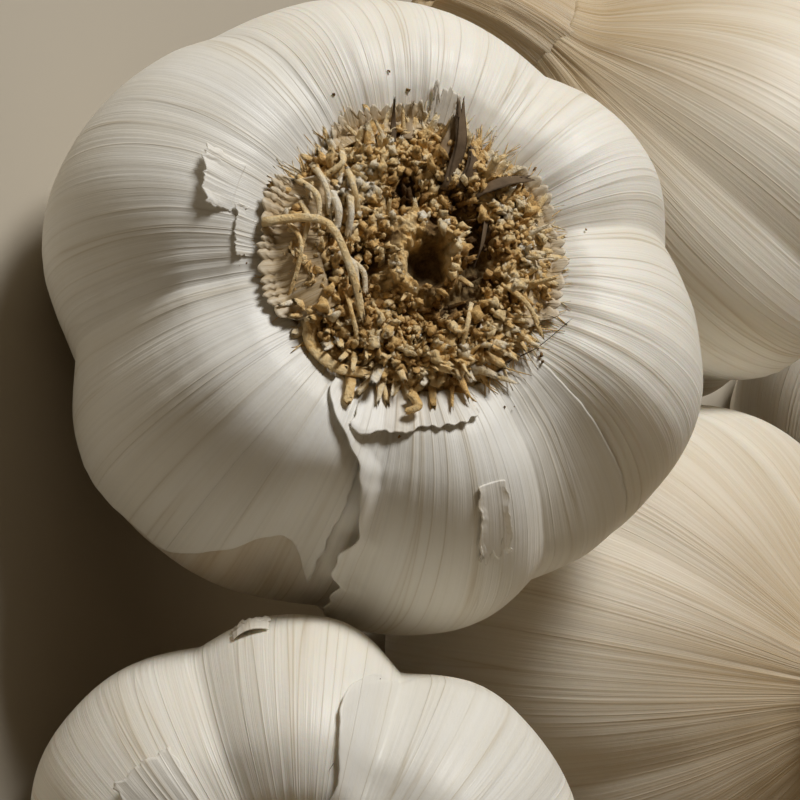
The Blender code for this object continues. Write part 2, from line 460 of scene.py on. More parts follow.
def cut_at_table(mesh):
    """Cuts off what would be below the table and closes the cut with a flat face."""
    cut = bmesh.ops.bisect_plane(
        mesh, geom=[*mesh.verts, *mesh.edges, *mesh.faces], dist=0.001 * MM,
        plane_co=(0, 0, 0), plane_no=(0, 0, -1), clear_outer=True)
    rim = [piece for piece in cut["geom_cut"] if isinstance(piece, bmesh.types.BMEdge)]
    if rim:
        bmesh.ops.contextual_create(mesh, geom=rim)
        bmesh.ops.recalc_face_normals(mesh, faces=mesh.faces)


def press_on_table(mesh):
    """Presses loose root matter flat where it would reach below the table."""
    for vert in mesh.verts:
        vert.co.z = max(vert.co.z, 0.01 * MM)


def neck_tan_and_painted_shade(bulb, angle, along):
    """How tan the skin is: towards the neck, and a little round the root plate. On the main bulb it
    also paints shade below the torn edge of the outer wrapper.
    """
    ragged = 0.05 * round_noise(angle, along, 8.0, 2.0, bulb.radius)
    starts = 0.58 if bulb is MAIN else 0.50
    tone = 0.85 * smooth(starts, 0.94, along + ragged) + 0.25 * smooth(0.19, 0.15, along + ragged)
    if bulb is MAIN:
        # painted shade on the skin below the outer wrapper's torn edge
        painted_shade_below_tear = bump(238, 34, math.degrees(angle) % 360) * smooth(0.36, 0.44, along)
        tone += 0.55 * painted_shade_below_tear * smooth(0.80, 0.60, along)
    return min(tone, 1.0)


def make_body(bulb, sides, rings):
    """The papery body with its cloves, pleats and veins."""
    size = bulb.radius * MM
    outline = []
    for ring in range(rings + 1):
        along = ring / rings
        radius, height = blend(PROFILE, along)
        outline.append((max(radius, 0.0) * size, height * size, along))
    outline.append((0.0, outline[-1][1], 1.0))
    mesh = turned_mesh(outline, sides)
    share = mesh.verts.layers.float["along"]
    grain = mesh.verts.layers.float_vector.new("grain")
    tone = mesh.verts.layers.float.new("tone")
    angles = []
    for vert in mesh.verts:
        angle = math.atan2(vert.co.y, vert.co.x)
        angles.append(angle)
        if vert.co.xy.length > 0.1 * MM:
            vert.co = skin_point(bulb, angle, vert[share])
    mesh.normal_update()
    for vert, angle in zip(mesh.verts, angles):
        along = vert[share]
        vert.co += vert.normal * skin_relief(bulb, angle, along)
        vert[grain] = Vector((math.cos(angle), math.sin(angle), along))
        vert[tone] = neck_tan_and_painted_shade(bulb, angle, along)
    mesh.transform(bulb_matrix(bulb))
    cut_at_table(mesh)
    return add_piece(bulb.name + "_papery_body", mesh, SKIN, "papery_skin",
                     (bulb.name + "_body",))


# ---------------------------------------------------------------- root plate

# height of the cork over its seat by share of the plate's radius, in shares of the bulb's radius
CORK_PROFILE = (0.015, 0.060, 0.150, 0.118, 0.088, 0.098, 0.112, 0.110, 0.098, 0.078, 0.045)
PIT_SHIFT = (0.075, -0.085)  # the pit lies off the middle, in shares of the plate's radius
PIT_EDGE = 0.15  # the pit's half width, in shares of the plate's radius


def square_share(x, y):
    """Squarish, slightly ragged distance from the pit's middle; x and y in plate radii."""
    x -= PIT_SHIFT[0]
    y -= PIT_SHIFT[1]
    return (x ** 4 + y ** 4) ** 0.25 + 0.04 * noise.noise(Vector((x * 13, y * 13, 5)))


def cork_height(share, angle=0.0):
    """Height of the cork over its seat, in shares of the bulb's radius."""
    square = square_share(share * math.cos(angle), share * math.sin(angle))
    middle = smooth(0.46, 0.24, share)
    return blend([(height,) for height in CORK_PROFILE], share + (square - share) * middle)[0]


def pit_share(co, size):
    """Distance of a point of the bulb's frame from the pit's middle, in plate radii."""
    return square_share(co.x / (PLATE_SHARE * size), co.y / (PLATE_SHARE * size))


def plate_point(bulb, degrees, share, height):
    """A point over the root plate: angle, share of its radius, height over the cork in mm."""
    angle = math.radians(degrees)
    radius = share * PLATE_SHARE * bulb.radius * MM
    level = (PROFILE[0][1] + cork_height(share, angle)) * bulb.radius * MM
    if share > 1.0:
        level = skin_point(bulb, angle, 0.154 + 0.18 * (share - 1.0)).z
    return Vector((radius * math.cos(angle), radius * math.sin(angle), level + height * MM))


def crumbs(place, size, seed):
    """Rounded lumps of noise, 0 in the gaps and about 1 on top."""
    near = noise.voronoi(place / size + Vector((seed, seed, seed)))[0][0]
    return max(0.0, 1.0 - near * 1.25)


def make_cork(bulb, sides, rings):
    """The cork disc itself, pitted and crumbly, with a hole in its middle."""
    size = bulb.radius * MM
    seat = PROFILE[0][1] * size + 0.3 * MM
    outline = [(0.0, seat, 0.0), (PLATE_SHARE * size * 0.96, seat + 0.045 * size, 0.0)]
    for ring in range(rings, -1, -1):
        outline.append((ring / rings * PLATE_SHARE * size, seat + 0.1 * size, 1.0))
    mesh = turned_mesh(outline, sides)
    top = mesh.verts.layers.float["along"]
    tone = mesh.verts.layers.float.new("tone")
    tip = mesh.verts.layers.float.new("tip")
    mesh.normal_update()
    for vert in mesh.verts:
        share = vert.co.xy.length / (PLATE_SHARE * size)
        angle = math.atan2(vert.co.y, vert.co.x)
        lump = crumbs(vert.co, 1.0 * MM, bulb.radius) * 0.6 + crumbs(vert.co, 0.45 * MM, 3.0) * 0.4
        pit = noise.noise(vert.co / (2.1 * MM))
        hole = smooth(PIT_EDGE, 0.11, pit_share(vert.co, size))
        vert[tone] = 0.46 + 0.30 * pit + 0.08 * bump(0.22, 0.12, pit_share(vert.co, size))
        # painted light on the tops of the lumps, painted shade in the gaps between them, in the pit
        # and in the hollow ring
        vert[tip] = (0.12 + 1.4 * lump * smooth(-0.35, 0.20, pit)) * (1.0 - 0.97 * hole)
        dark = in_dark_ring(math.degrees(angle), share)
        vert[tip] *= 1.0 - 0.75 * dark
        if vert[top] > 0.5:
            vert.co.z = (PROFILE[0][1] + cork_height(share, angle)) * size
            if share < 0.97:
                lift = (lump - 0.40 + 0.7 * pit) * 1.1 - 0.9 * dark
                vert.co += vert.normal * lift * MM * (1.0 - hole)
    mesh.transform(bulb_matrix(bulb))
    press_on_table(mesh)
    return add_piece(bulb.name + "_root_cork", mesh, CORK, "root_cork",
                     (bulb.name + "_root_plate",))


def crumb_template(seed):
    """A small rough lump, about 1 across, standing on z = 0."""
    mesh = bmesh.new()
    bmesh.ops.create_icosphere(mesh, subdivisions=2, radius=0.5)
    for vert in mesh.verts:
        rough = noise.noise(vert.co * 2.6 + Vector((seed, 0, seed)))
        rough += 0.9 * noise.noise(vert.co * 6.5 + Vector((0, seed, 3)))
        vert.co *= 1.0 + 0.85 * rough
        vert.co.z = vert.co.z * 0.9 + 0.45
    return finished_template(mesh, "crumb")


def stub_template(sides, rings, fray=0.0, seed=0.0):
    """A straight root stub of radius 1 and height 1, cupped and frayed at its cut end."""
    mesh = bmesh.new()
    bmesh.ops.create_cone(mesh, cap_ends=True, segments=sides, radius1=1.0, radius2=1.0, depth=1.0)
    bmesh.ops.translate(mesh, verts=mesh.verts, vec=(0, 0, 0.5))
    for ring in range(1, rings):
        bmesh.ops.bisect_plane(mesh, geom=[*mesh.verts, *mesh.edges, *mesh.faces],
                               plane_co=(0, 0, ring / rings), plane_no=(0, 0, 1))
    mesh.faces.ensure_lookup_table()
    end = [face for face in mesh.faces if face.calc_center_median().z > 0.999]
    bmesh.ops.inset_region(mesh, faces=end, thickness=0.35, depth=-0.10)
    for vert in mesh.verts:
        around = Vector((vert.co.x, vert.co.y, seed)) * 2.1
        ribs = noise.noise(around + UP * vert.co.z * 1.5)
        vert.co.x *= 1.0 + fray * ribs
        vert.co.y *= 1.0 + fray * ribs
        if vert.co.z > 0.85:
            vert.co.z += 0.7 * fray * noise.noise(around * 1.7)
    return finished_template(mesh, "stub")


def finished_template(mesh, name):
    data = bpy.data.meshes.new(name + "_template")
    mesh.to_mesh(data)
    mesh.free()
    return data


class Cluster:
    """Many bent copies of small shapes gathered into one piece, each with its own tone."""

    def __init__(self):
        self.mesh = bmesh.new()
        self.tone = self.mesh.verts.layers.float.new("tone")
        self.tip = self.mesh.verts.layers.float.new("tip")

    def add(self, template, place, tone, base=0.15):
        """Adds a copy; place turns each template point into the bulb's frame. tone says how pale
        the copy is, and base how much painted light its foot keeps, from 0 to 1; the copy is
        painted with shade at its foot, fading to full light at its top."""
        before = len(self.mesh.verts)
        self.mesh.from_mesh(template)
        self.mesh.verts.ensure_lookup_table()
        for vert in self.mesh.verts[before:]:
            vert[self.tone] = tone
            # painted shade at the foot of each copy, rising to painted light at its top
            vert[self.tip] = base + (1.0 - base) * min(max(vert.co.z, 0.0), 1.0)
            vert.co = place(vert.co)

    def finish(self, bulb, name, material, slot):
        self.mesh.transform(bulb_matrix(bulb))
        press_on_table(self.mesh)
        bmesh.ops.recalc_face_normals(self.mesh, faces=self.mesh.faces)
        return add_piece(bulb.name + name, self.mesh, material, slot)


def along_path(points, start_radius, end_radius, flat=1.0, seed=0.0, broad_way=UP):
    """A placing rule that lays a template along a smooth path of points in metres."""
    frames = {}
    reach = (points[-1] - points[0]).length

    def frame_at(share):
        centre = Vector(blend(points, share))
        ahead = Vector(blend(points, min(share + 0.02, 1.0)))
        behind = Vector(blend(points, max(share - 0.02, 0.0)))
        tangent = (ahead - behind).normalized()
        side = tangent.cross(broad_way)
        if side.length < 0.05:
            side = tangent.cross(Vector((1, 0, 0)))
        side.normalize()
        return centre, tangent, side, side.cross(tangent)

    def place(point):
        share = min(max(point.z, 0.0), 1.0)
        key = round(share, 3)
        if key not in frames:
            frames[key] = frame_at(key)
        centre, tangent, side, over = frames[key]
        radius = start_radius + (end_radius - start_radius) * share
        angle = math.atan2(point.y, point.x)
        rib = noise.noise(Vector((math.cos(angle) * 1.5, math.sin(angle) * 1.5, share * 3 + seed)))
        radius *= 1.0 + 0.40 * rib
        beyond = tangent * (point.z - share) * reach
        return centre + (side * point.x + over * point.y * flat) * radius + beyond
    return place


def lean_path(bulb, degrees, share, length, lean, sideways, rng):
    """Points of a root stub that starts on the cork and leans outwards by lean degrees."""
    base = plate_point(bulb, degrees, share, -0.5)
    angle = math.radians(degrees)
    out = Vector((math.cos(angle), math.sin(angle), 0))
    across = Vector((-math.sin(angle), math.cos(angle), 0))
    tilt = math.radians(lean)
    direction = out * math.sin(tilt) + UP * math.cos(tilt) + across * sideways
    curl = Vector((rng.uniform(-1, 1), rng.uniform(-1, 1), rng.uniform(-0.6, 0.2))) * 0.32
    middle = base + direction * length * 0.5 * MM + curl * length * 0.4 * MM
    return [base, middle, base + direction * length * MM + curl * length * MM]


def in_dark_ring(degrees, share):
    """1 in the hollow ring round the middle, strongest right of and below it, where the cork is
    sunk and painted dark with shade.
    """
    side = max(0.0, math.cos(math.radians(degrees - 345)))
    side = max(side, 0.8 * bump(205, 28, degrees % 360), 0.9 * bump(100, 22, degrees % 360))
    return bump(0.45, 0.18, share) * (0.14 + 1.00 * side)


def zone_tone(degrees, share, rng):
    """How pale the roots are: cream clumps upper left, a band of painted shade round the middle,
    gold rim.
    """
    cream = bump(138, 42, degrees % 360) * bump(0.58, 0.30, share)
    dark = in_dark_ring(degrees, share)
    grey = smooth(0.90, 1.0, rng.random()) * 0.30
    # the band round the middle is painted shade in the hollow ring
    return 0.58 + 0.36 * cream - 0.75 * dark + grey + rng.uniform(-0.24, 0.22)


CRUMB_SIZES = (0.35, 0.5, 0.5, 0.7, 0.95)  # mm
STRAY_SHARE = 0.02  # of the crumbs, this share has fallen on the skin round the plate


def make_crumbs(bulb, count, rng):
    """Loose-looking lumps of dry root matter all over the cork."""
    templates = [crumb_template(seed) for seed in range(6)]
    cluster = Cluster()
    for index in range(count):
        degrees = rng.uniform(0, 360)
        share = 0.17 + 0.78 * math.sqrt(rng.random())
        dark = in_dark_ring(degrees, share)
        if dark > rng.uniform(0.15, 1.1):
            continue
        size = rng.choice(CRUMB_SIZES) * rng.uniform(0.8, 1.25) * MM
        tone = zone_tone(degrees, share, rng)
        level = rng.uniform(-0.35, 0.45) - 0.8 * dark
        if index < STRAY_SHARE * count:
            share = rng.uniform(1.05, 1.35)
            level = 0.0
            size *= 0.45
            tone = 0.1
        spot = plate_point(bulb, degrees, share, level)
        if pit_share(spot, bulb.radius * MM) < PIT_EDGE:
            continue
        turn = Matrix.Rotation(rng.uniform(0, math.tau), 3, "Z")
        turn = turn @ Matrix.Rotation(rng.uniform(-0.9, 0.9), 3, "X")
        stretch = Vector((rng.uniform(0.5, 1.0), rng.uniform(0.6, 1.2), rng.uniform(0.6, 1.6)))
        shape = turn @ Matrix.Diagonal(stretch * size)
        cluster.add(rng.choice(templates), lambda point: spot + shape @ point, tone, base=0.15)
    return cluster.finish(bulb, "_root_crumbs", CORK, "root_cork")


def make_stubs(bulb, inner, outer, rng):
    """Cut root stubs: short and upright inside, longer and leaning outwards at the rim."""
    templates = [stub_template(8, 5, 0.55, seed) for seed in range(5)]
    cluster = Cluster()
    for _ in range(inner):
        degrees = rng.uniform(0, 360)
        share = 0.22 + 0.62 * math.sqrt(rng.random())
        if in_dark_ring(degrees, share) > rng.uniform(0.3, 1.2):
            continue
        path = lean_path(bulb, degrees, share, rng.uniform(0.9, 1.9),
                         rng.uniform(-25, 60), rng.uniform(-0.7, 0.7), rng)
        thick = rng.uniform(0.16, 0.34) * MM
        rule = along_path(path, thick * 1.2, thick * rng.uniform(0.4, 1.2),
                          rng.uniform(0.4, 1.0), share * 9)
        cluster.add(rng.choice(templates), rule, zone_tone(degrees, share, rng), base=0.1)
    for index in range(outer):
        degrees = 360.0 * index / outer + rng.uniform(-3, 3)
        share = rng.uniform(0.74, 1.0)
        left = bump(182, 36, degrees)
        if left > rng.uniform(0.05, 1.6):
            continue
        hanging = bump(285, 45, degrees)
        path = lean_path(bulb, degrees, share, rng.uniform(1.3, 2.9) + 0.6 * hanging,
                         38 + 50 * smooth(0.74, 1.0, share), rng.uniform(-0.3, 0.3), rng)
        thick = rng.uniform(0.18, 0.42) * MM
        rule = along_path(path, thick * 1.2, thick * rng.uniform(0.35, 1.0),
                          rng.uniform(0.35, 0.9), index)
        cluster.add(rng.choice(templates), rule, zone_tone(degrees, 0.9, rng) + 0.08, base=0.3)
    return cluster.finish(bulb, "_root_stubs", CORK, "root_cork")


def make_fibres(bulb, count, rng):
    """Fine dry fibres that lie on the skin round the root plate."""
    template = stub_template(4, 4)
    cluster = Cluster()
    for _ in range(count):
        angle = rng.uniform(0, math.tau)
        reach = rng.uniform(0.012, 0.050)
        bend = rng.uniform(-0.10, 0.10)
        path = []
        for step in range(4):
            along = 0.142 + reach * step / 3
            path.append(skin_point(bulb, angle + bend * step / 3, along,
                                   (0.30 + 0.25 * rng.random()) * MM))
        thick = rng.uniform(0.05, 0.13) * MM
        rule = along_path(path, thick, thick * 0.3)
        cluster.add(template, rule, rng.uniform(0.5, 0.85), base=0.5)
    return cluster.finish(bulb, "_root_fibres", CORK, "root_cork")


# collars of old skin round the main root plate: name, first and last angle in degrees, inner and
# outer edge in shares of the plate's radius, height over the cork at both edges in mm, ribs,
# tone and seed
FANS = (
    ("main_bulb_left_fan", 146, 217, 0.70, 1.09, (0.8, 1.1), 19, 1.25, 2.0),
    ("main_bulb_upper_fan", 84, 128, 0.90, 1.07, (0.8, 1.4), 13, 1.15, 5.0),
    ("main_bulb_right_fan", -30, 50, 0.84, 1.05, (0.5, 0.8), 15, 1.15, 8.0),
)


def make_fan(name, start, end, inner, outer, stand, ribs, tone, seed):
    """A ribbed, scalloped collar of old skin round part of the main root plate."""
    columns = int((end - start) * 2.5)
    mesh = bmesh.new()
    grain = mesh.verts.layers.float_vector.new("grain")
    shade = mesh.verts.layers.float.new("tone")
    bmesh.ops.create_grid(mesh, x_segments=columns, y_segments=16, size=1.0)
    for vert in mesh.verts:
        across = (vert.co.x + 1.0) / 2.0
        down = (vert.co.y + 1.0) / 2.0
        rib = math.sin(math.pi * ribs * (across + 0.02 * math.sin(across * 23.0 + seed)))
        edge = outer + 0.035 * abs(rib) + jag(across, seed, 0.05)
        fade = smooth(0.0, 0.12, across) * smooth(1.0, 0.88, across)
        share = inner + (edge - inner) * down * (0.45 + 0.55 * fade)
        degrees = start + (end - start) * across + 1.5 * jag(down, seed + 9.0, 1.0)
        height = stand[0] + (stand[1] - stand[0]) * down ** 1.5 + 0.22 * abs(rib) * down
        vert.co = plate_point(MAIN, degrees, share, height)
        angle = math.radians(degrees)
        vert[grain] = Vector((math.cos(angle), math.sin(angle), down))
        vert[shade] = tone - 0.24 * abs(rib) - 0.45 * down ** 3
    bmesh.ops.recalc_face_normals(mesh, faces=mesh.faces)
    mesh.transform(bulb_matrix(MAIN))
    piece = add_piece(name, mesh, THIN_SKIN, "root_cork")
    solid = piece.modifiers.new("Thickness", "SOLIDIFY")
    solid.thickness = 0.12 * MM
    solid.offset = 0.0
    return piece


# ---------------------------------------------------------------- torn sheets of skin

def jag(x, seed, size):
    """A ragged offset along an edge."""
    long_waves = noise.noise(Vector((x * 6.0, seed, 0)))
    short_waves = noise.noise(Vector((x * 19.0, seed, 5)))
    return size * (long_waves + 0.5 * short_waves)


def skin_sheet(name, bulb, start, end, top, bottom, rise, tone=0.0, columns=60, rows=24,
               ragged=0.012, seed=0.0, thickness=0.09, stands_for=()):
    """A torn papery leaf over the body. start and end are degrees, top and bottom are places
    along the outline, and rise(across, down) is its height over the body in mm. A border that
    doesn't show dips below the body's skin, where rise is less than nothing."""
    mesh = bmesh.new()
    grain = mesh.verts.layers.float_vector.new("grain")
    shade = mesh.verts.layers.float.new("tone")
    bmesh.ops.create_grid(mesh, x_segments=columns, y_segments=rows, size=1.0)
    for vert in mesh.verts:
        across = (vert.co.x + 1.0) / 2.0
        down = (vert.co.y + 1.0) / 2.0
        low = bottom(across) if callable(bottom) else bottom
        low += jag(across, seed, ragged)
        high = top(across) if callable(top) else top
        along = high + (low - high) * down
        slant = jag(down, seed + 3.0, 0.8) * (2.0 * across - 1.0)
        first = start(down) if callable(start) else start
        last = end(down) if callable(end) else end
        angle = math.radians(first + (last - first) * across + slant)
        lift = rise(across, down) * MM + skin_relief(bulb, angle, along) + 0.05 * MM
        vert.co = skin_point(bulb, angle, along, lift)
        vert[grain] = Vector((math.cos(angle), math.sin(angle), along))
        vert[shade] = tone(across, down) if callable(tone) else tone
    bmesh.ops.recalc_face_normals(mesh, faces=mesh.faces)
    mesh.transform(bulb_matrix(bulb))
    piece = add_piece(name, mesh, THIN_SKIN, "papery_skin", stands_for)
    solid = piece.modifiers.new("Thickness", "SOLIDIFY")
    solid.thickness = thickness * MM
    solid.offset = 0.0
    return piece


def make_torn_skins():
    """The torn flaps and skin edges of the main and front bulbs."""
    skin_sheet(
        "main_bulb_torn_flap", MAIN, 250, 291, 0.140,
        lambda x: 0.228 - 0.040 * x, lambda x, y: 0.45 + 0.9 * y + 0.4 * math.sin(9 * x) * y,
        tone=lambda x, y: 0.26 * bump(0.35, 0.2, x) + 0.25 * smooth(0.4, 0.0, y),
        seed=1.0, ragged=0.012, columns=90, rows=36, stands_for=("main_bulb_torn_skin",))
    skin_sheet(
        "main_bulb_side_flap", MAIN, 156, 171, 0.222, lambda x: 0.268 - 0.022 * x,
        lambda x, y: 0.35 + 1.4 * y * y, seed=2.0, columns=40, rows=20, ragged=0.007,
        stands_for=("main_bulb_side_shred",))
    skin_sheet(
        "main_bulb_side_shreds", MAIN, 168, 184, 0.185, 0.208,
        lambda x, y: 0.35 + 0.6 * y * y, seed=12.0, columns=50, rows=16, ragged=0.010)
    skin_sheet(
        "front_bulb_torn_flap", FRONT, 122, 138, 0.240, 0.325,
        lambda x, y: 0.20 + 0.8 * y, seed=4.0, columns=36, rows=20, ragged=0.006,
        stands_for=("front_bulb_torn_skin",))
    skin_sheet(
        "front_bulb_skin_flake", FRONT, 97, 104, 0.475, 0.520,
        lambda x, y: 0.15 + 0.35 * math.sin(3 * x), tone=0.18, seed=5.0, columns=24, rows=16,
        ragged=0.020)
    skin_sheet(
        "front_bulb_split_skin", FRONT, 28, lambda y: 85 - 10 * y - 3 * math.sin(7 * y), 0.150,
        lambda x: 0.56 - 0.10 * smooth(0.75, 1.0, x),
        lambda x, y: (0.40 + 0.45 * smooth(0.92, 1.0, x) * smooth(0.85, 0.6, y))
        * smooth(0.0, 0.2, x) * smooth(1.0, 0.8, y) - 0.15, seed=15.0,
        columns=110, rows=70, ragged=0.008, thickness=0.12)
    skin_sheet(
        "main_bulb_grey_flake", MAIN, 75, 84, 0.150, 0.200,
        lambda x, y: 0.5 + 0.5 * y, tone=0.30, seed=6.0, columns=30, rows=18, ragged=0.02)
    skin_sheet(
        "main_bulb_scar", MAIN, 285, 292, 0.300, 0.395,
        lambda x, y: 0.38 + 0.28 * abs(2 * x - 1) ** 3, tone=0.10, seed=14.0, columns=30,
        rows=40, ragged=0.016)
    skin_sheet(
        "main_bulb_outer_wrapper", MAIN, 120, 256, 0.150,
        lambda x: 0.60 - 0.06 * smooth(0.55, 0.80, x) - 0.115 * bump(0.93, 0.13, x)
        + jag(3 * x, 33.0, 0.007),
        lambda x, y: 0.45 * smooth(0.0, 0.1, x) * max(smooth(1.0, 0.85, y), smooth(0.45, 0.6, x))
        + 0.25 * y ** 6 * smooth(0.45, 0.6, x) - 0.15,
        seed=8.0, columns=240, rows=110, ragged=0.010, thickness=0.12)
    skin_sheet(
        "main_bulb_lower_wrapper", MAIN,
        lambda y: 238 + 24 * smooth(0.0, 0.45, y) + 2.5 * math.sin(9 * y) + jag(y, 31.0, 3.2),
        322, 0.152,
        lambda x: 0.66 + 0.03 * math.sin(11 * x),
        lambda x, y: (0.43 + 0.75 * smooth(0.10, 0.0, x) + 0.25 * smooth(0.3, 0.0, x))
        * smooth(1.0, 0.85, x) * smooth(1.0, 0.88, y) - 0.15,
        seed=9.0, columns=160, rows=100, ragged=0.010, thickness=0.12)


# ---------------------------------------------------------------- stems

STEM_SIDES = 72
STEM_RINGS = 24
STEM_START = 1.0  # mm, how far inside the neck the stem begins
# rings of the cut end, from outside to inside: share of the stem's radius, and how far below
# the cut it lies in shares of the stem's length
CUT_RINGS = ((0.86, 0.02), (0.72, 0.02), (0.55, 0.10), (0.40, 0.02), (0.2, 0.02), (0.0, 0.07))


def make_stem(bulb, rng):
    """The dry stem: a few rolled straw-coloured leaf layers with a ragged cut."""
    size = bulb.radius * MM
    top = PROFILE[-1][1] * size
    length = bulb.stem_length * MM
    base = PROFILE[-1][0] * size
    outline = [(0.0, top + STEM_START * MM, 0.0)]
    for step in range(STEM_RINGS + 1):
        share = step / STEM_RINGS
        radius = base * (0.98 - 0.28 * share + 0.12 * share ** 3)
        outline.append((radius, top + STEM_START * (1.0 - share) * MM - length * share, share))
    cut_radius = outline[-1][0]
    for wall, depth in CUT_RINGS:
        outline.append((cut_radius * wall, top - length * (1.0 - depth), 1.0))
    mesh = turned_mesh(outline, STEM_SIDES)
    share = mesh.verts.layers.float["along"]
    grain = mesh.verts.layers.float_vector.new("grain")
    tone = mesh.verts.layers.float.new("tone")
    seed = rng.random() * 50
    for vert in mesh.verts:
        angle = math.atan2(vert.co.y, vert.co.x)
        around = Vector((math.cos(angle), math.sin(angle), seed))
        ribs = 1.0 + 0.09 * round_noise(angle, vert[share], 4.0, 1.0, seed)
        ribs += 0.05 * ridged(round_noise(angle, vert[share], 9.0, 0.6, seed + 4))
        vert.co.x *= ribs
        vert.co.y *= ribs
        if vert[share] > 0.6:
            vert.co.z += 0.9 * MM * noise.noise(around * 2.5)
        vert.co.x += bulb.stem_bend * MM * vert[share] ** 2
        vert[grain] = Vector((math.cos(angle), math.sin(angle), vert[share]))
        vert[tone] = 0.80 + 0.15 * vert[share]
    mesh.transform(bulb_matrix(bulb))
    cut_at_table(mesh)
    return add_piece(bulb.name + "_straw_stem", mesh, SKIN, "dry_stem",
                     (bulb.name + "_dry_stem",))


# ---------------------------------------------------------------- the main bulb's own roots

# root strands: a path over the main root plate of (degrees, share of the plate's radius, height
# in mm), then half width in mm, flatness and tone
LONG_ROOTS = (
    (((173, 1.10, 1.3), (171, 0.70, 2.4), (207, 0.55, 2.2), (233, 0.68, 1.0)), 0.42, 0.7, 0.66),
    (((150, 0.98, 1.2), (157, 0.80, 2.1), (172, 0.72, 0.9)), 0.30, 0.8, 0.74),
    (((141, 0.95, 1.0), (150, 0.78, 2.0), (163, 0.66, 0.8)), 0.30, 0.9, 0.88),
    (((150, 0.72, 1.2), (161, 0.62, 1.9), (176, 0.60, 0.9)), 0.38, 0.9, 0.95),
    (((143, 0.62, 1.0), (157, 0.54, 1.8), (173, 0.51, 0.9)), 0.36, 0.9, 0.90),
    (((133, 0.74, 0.8), (141, 0.62, 1.7), (150, 0.48, 0.6)), 0.32, 0.8, 0.76),
    (((160, 0.88, 1.0), (172, 0.80, 1.6), (192, 0.90, 0.8)), 0.26, 0.8, 0.70),
    (((186, 0.56, 0.9), (201, 0.50, 1.6), (216, 0.55, 0.6)), 0.40, 0.9, 0.96),
    (((192, 0.50, 0.9), (206, 0.44, 1.4), (222, 0.50, 0.6)), 0.30, 0.9, 0.84),
    (((171, 0.92, 1.2), (184, 0.84, 1.9), (204, 0.98, 0.9)), 0.22, 0.8, 0.62),
    (((128, 0.88, 0.9), (134, 0.80, 1.7), (144, 0.84, 0.9)), 0.30, 0.8, 0.70),
    (((213, 0.84, 0.7), (222, 1.00, 1.2), (236, 1.04, 1.3), (249, 0.95, 1.2)), 0.66, 0.35, 0.60),
    (((213, 0.62, 0.8), (226, 0.70, 1.4), (238, 0.80, 0.8)), 0.24, 0.8, 0.58),
    (((-44, 0.52, 0.9), (-58, 0.62, 1.6), (-66, 0.76, 0.6)), 0.24, 0.7, 0.66),
    (((-20, 0.66, 0.9), (-25, 0.86, 1.7), (-31, 1.06, 0.9)), 0.26, 0.6, 0.58),
    (((243, 1.00, 1.1), (245, 1.12, 1.5), (246, 1.24, 1.4)), 0.50, 0.3, 0.52),
    (((268, 1.02, 1.4), (270, 1.12, 1.8), (266, 1.16, 1.4)), 0.42, 0.8, 0.56),
)
# withered leaf tips: such a path, half width in mm and tone
LEAF_TIPS = (
    (((66, 0.52, 0.2), (70, 0.80, 2.0), (75, 1.10, 3.0)), 0.90, 0.30),
    (((78, 0.66, 0.2), (76, 0.84, 1.6), (75, 1.02, 2.4)), 0.70, 0.70),
    (((56, 0.58, 0.2), (60, 0.76, 1.1), (65, 0.92, 1.4)), 0.75, 0.22),
    (((47, 0.60, 0.3), (42, 0.80, 1.6), (37, 1.00, 2.0)), 0.85, 0.28),
    (((102, 0.82, 0.4), (100, 0.97, 1.6), (99, 1.10, 1.9)), 0.30, 0.20),
    (((95, 0.84, 0.4), (93, 0.97, 1.5), (92, 1.08, 1.8)), 0.50, 0.80),
    (((28, 0.56, 0.3), (10, 0.46, 1.2), (-8, 0.42, 0.4)), 0.42, 0.25),
    (((-52, 0.96, 0.5), (-36, 1.06, 0.6), (-22, 1.16, 0.5)), 0.10, 0.15),
)


# the split in the front bulb's skin, drawn as a thin dark strand of painted shadow: (degrees, place
# along the outline), and its half width in mm
FRONT_CRACK = ((74, 0.44), (77, 0.38), (78, 0.32), (82, 0.26))
CRACK_WIDTH = 0.06


def make_long_roots():
    """Long pale root strands lying over the main root plate."""
    template = stub_template(10, 14, 0.30, 3.0)
    cluster = Cluster()
    for index, (path, thick, flat, tone) in enumerate(LONG_ROOTS):
        points = [plate_point(MAIN, *spot) for spot in path]
        cluster.add(template, along_path(points, thick * MM, thick * 0.75 * MM, flat, index),
                    tone, base=0.7)
    return cluster.finish(MAIN, "_long_roots", CORK, "root_cork")


def make_leaf_tips():
    """Dark withered leaf tips that stand out of the root plate."""
    template = stub_template(14, 16, 0.60, 5.0)
    cluster = Cluster()
    for index, (path, wide, tone) in enumerate(LEAF_TIPS):
        points = [plate_point(MAIN, *spot) for spot in path]
        middle = math.radians(path[1][0])
        outward = Vector((math.cos(middle), math.sin(middle), 0.6))
        rule = along_path(points, wide * MM, wide * 0.40 * MM, 0.30, index * 7.0, outward)
        cluster.add(template, rule, tone, base=0.7)
    return cluster.finish(MAIN, "_leaf_tips", LEAF_AND_CRACK_SHADOW, "root_cork")


def make_painted_crack_shadow():
    """A thin dark strand of painted shadow along the split in the front bulb's skin."""
    cluster = Cluster()
    points = [skin_point(FRONT, math.radians(degrees), along, 0.10 * MM)
              for degrees, along in FRONT_CRACK]
    rule = along_path(points, CRACK_WIDTH * MM, CRACK_WIDTH * 0.4 * MM, 0.8)
    cluster.add(stub_template(6, 12, 0.4, 2.0), rule, 0.3, base=0.7)
    return cluster.finish(FRONT, "_skin_cracks", LEAF_AND_CRACK_SHADOW, "papery_skin")


# ---------------------------------------------------------------- stage

